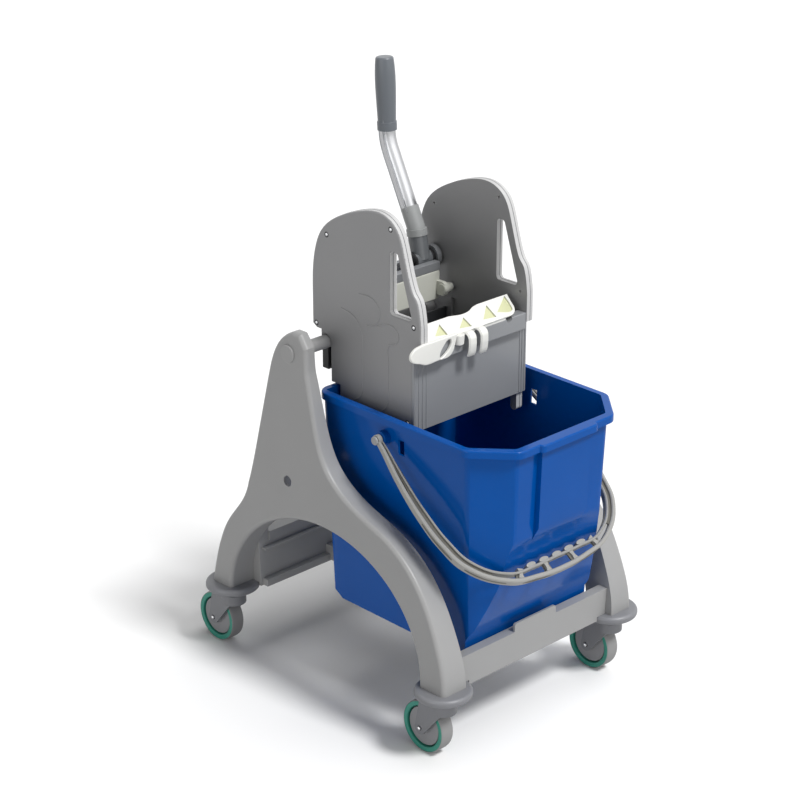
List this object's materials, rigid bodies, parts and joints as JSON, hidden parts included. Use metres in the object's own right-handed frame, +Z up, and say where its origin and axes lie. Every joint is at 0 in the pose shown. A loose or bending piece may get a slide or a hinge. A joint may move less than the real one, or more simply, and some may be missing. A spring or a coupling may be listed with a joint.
{
  "type": "mop bucket with wringer",
  "caption": "Wheeled mopping trolley: two grey side frames on swivel casters carry a blue lift-out bucket with a bail and a lever press wringer.",
  "frame": {"origin": "on the floor, midway between the four caster swivel axes, which is the bottom centre of the bounding box", "axes": "+Z up, front of the trolley at -Y, +X to the right when looking from the front towards the rear"},
  "size_m": [0.438, 0.602, 0.9095],
  "materials": {
    "frame_grey": "satin",
    "tube_steel": "satin",
    "black_polyamide": "satin",
    "zinc_fastener": "satin",
    "caster_grey": "satin",
    "hub_grey": "satin",
    "ring_green": "satin",
    "tread_grey": "matte",
    "bucket_blue": "satin",
    "bail_grey": "satin",
    "wringer_grey": "satin",
    "adapter_white": "satin",
    "pad_ivory": "satin",
    "lever_moulding_grey": "satin",
    "lever_aluminium": "satin",
    "grip_slate": "matte"
  },
  "bodies": {
    "frame": {"side_frame_left": "frame_grey", "side_frame_right": "frame_grey", "front_crossbar": "frame_grey", "rear_crossbar": "frame_grey", "bucket_rest": "black_polyamide", "cross_tube": "tube_steel", "tube_caps": "frame_grey", "tube_clips": "black_polyamide", "frame_bolts": "zinc_fastener", "bumper_front_left": "frame_grey", "bumper_front_right": "frame_grey", "bumper_rear_left": "frame_grey", "bumper_rear_right": "frame_grey", "caster_cup_front_left": "caster_grey", "caster_cup_front_right": "caster_grey", "caster_cup_rear_left": "caster_grey", "caster_cup_rear_right": "caster_grey"},
    "swivel_front_left": {"fork_front_left": "caster_grey", "axle_front_left": "zinc_fastener"},
    "wheel_front_left": {"wheel_hub_front_left": "hub_grey", "wheel_ring_front_left": "ring_green", "tyre_front_left": "tread_grey"},
    "swivel_front_right": {"fork_front_right": "caster_grey", "axle_front_right": "zinc_fastener"},
    "wheel_front_right": {"wheel_hub_front_right": "hub_grey", "wheel_ring_front_right": "ring_green", "tyre_front_right": "tread_grey"},
    "swivel_rear_left": {"fork_rear_left": "caster_grey", "axle_rear_left": "zinc_fastener"},
    "wheel_rear_left": {"wheel_hub_rear_left": "hub_grey", "wheel_ring_rear_left": "ring_green", "tyre_rear_left": "tread_grey"},
    "swivel_rear_right": {"fork_rear_right": "caster_grey", "axle_rear_right": "zinc_fastener"},
    "wheel_rear_right": {"wheel_hub_rear_right": "hub_grey", "wheel_ring_rear_right": "ring_green", "tyre_rear_right": "tread_grey"},
    "bucket": {"bucket": "bucket_blue", "bail_pins": "bail_grey"},
    "bail": {"bail": "bail_grey"},
    "wringer": {"side_plate_left": "wringer_grey", "side_plate_right": "wringer_grey", "side_cover_left": "wringer_grey", "side_cover_right": "wringer_grey", "plate_screws": "zinc_fastener", "front_panel": "wringer_grey", "sieve_base": "wringer_grey", "rear_panel": "wringer_grey", "mop_adapter": "adapter_white", "shaft_bushes": "black_polyamide"},
    "lever": {"lever_shaft": "tube_steel", "shaft_cams": "black_polyamide", "lever_socket": "lever_moulding_grey", "lever_tube": "lever_aluminium", "lever_sleeve": "lever_moulding_grey", "lever_grip": "grip_slate"},
    "press": {"press_pad": "pad_ivory", "press_carrier": "lever_moulding_grey", "guide_pins": "zinc_fastener"}
  },
  "joints": [
    {"name": "swivel_front_left", "type": "hinge", "parent": "frame", "child": "swivel_front_left", "pos_m": [-0.177, -0.231, 0.0948], "axis": [0, 0, 1], "continuous": true},
    {"name": "roll_front_left", "type": "hinge", "parent": "swivel_front_left", "child": "wheel_front_left", "pos_m": [-0.177, -0.201, 0.04], "axis": [1, 0, 0], "continuous": true},
    {"name": "swivel_front_right", "type": "hinge", "parent": "frame", "child": "swivel_front_right", "pos_m": [0.177, -0.231, 0.0948], "axis": [0, 0, 1], "continuous": true},
    {"name": "roll_front_right", "type": "hinge", "parent": "swivel_front_right", "child": "wheel_front_right", "pos_m": [0.177, -0.201, 0.04], "axis": [1, 0, 0], "continuous": true},
    {"name": "swivel_rear_left", "type": "hinge", "parent": "frame", "child": "swivel_rear_left", "pos_m": [-0.177, 0.231, 0.0948], "axis": [0, 0, 1], "continuous": true},
    {"name": "roll_rear_left", "type": "hinge", "parent": "swivel_rear_left", "child": "wheel_rear_left", "pos_m": [-0.177, 0.261, 0.04], "axis": [1, 0, 0], "continuous": true},
    {"name": "swivel_rear_right", "type": "hinge", "parent": "frame", "child": "swivel_rear_right", "pos_m": [0.177, 0.231, 0.0948], "axis": [0, 0, 1], "continuous": true},
    {"name": "roll_rear_right", "type": "hinge", "parent": "swivel_rear_right", "child": "wheel_rear_right", "pos_m": [0.177, 0.261, 0.04], "axis": [1, 0, 0], "continuous": true},
    {"name": "bucket_lift", "type": "slide", "parent": "frame", "child": "bucket", "axis": [0, 0, 1], "range_m": [0, 0.125]},
    {"name": "bail_swing", "type": "hinge", "parent": "bucket", "child": "bail", "pos_m": [0, -0.072, 0.436], "axis": [-1, 0, 0], "range_deg": [0, 110]},
    {"name": "wringer_lift", "type": "slide", "parent": "frame", "child": "wringer", "axis": [0, 0, 1], "range_m": [0, 0.25]},
    {"name": "lever_press", "type": "hinge", "parent": "wringer", "child": "lever", "pos_m": [0, 0.0695, 0.617], "axis": [1, 0, 0], "range_deg": [0, 85]},
    {"name": "press_slide", "type": "slide", "parent": "wringer", "child": "press", "axis": [0, -0.862, -0.507], "range_m": [0, 0.1]}
  ],
  "couplings": [
    {"joint": "press_slide", "follows": "lever_press", "m_per_rad": 0.0674},
    {"joint": "bucket_lift", "follows": "wringer_lift", "ratio": 0.5}
  ]
}
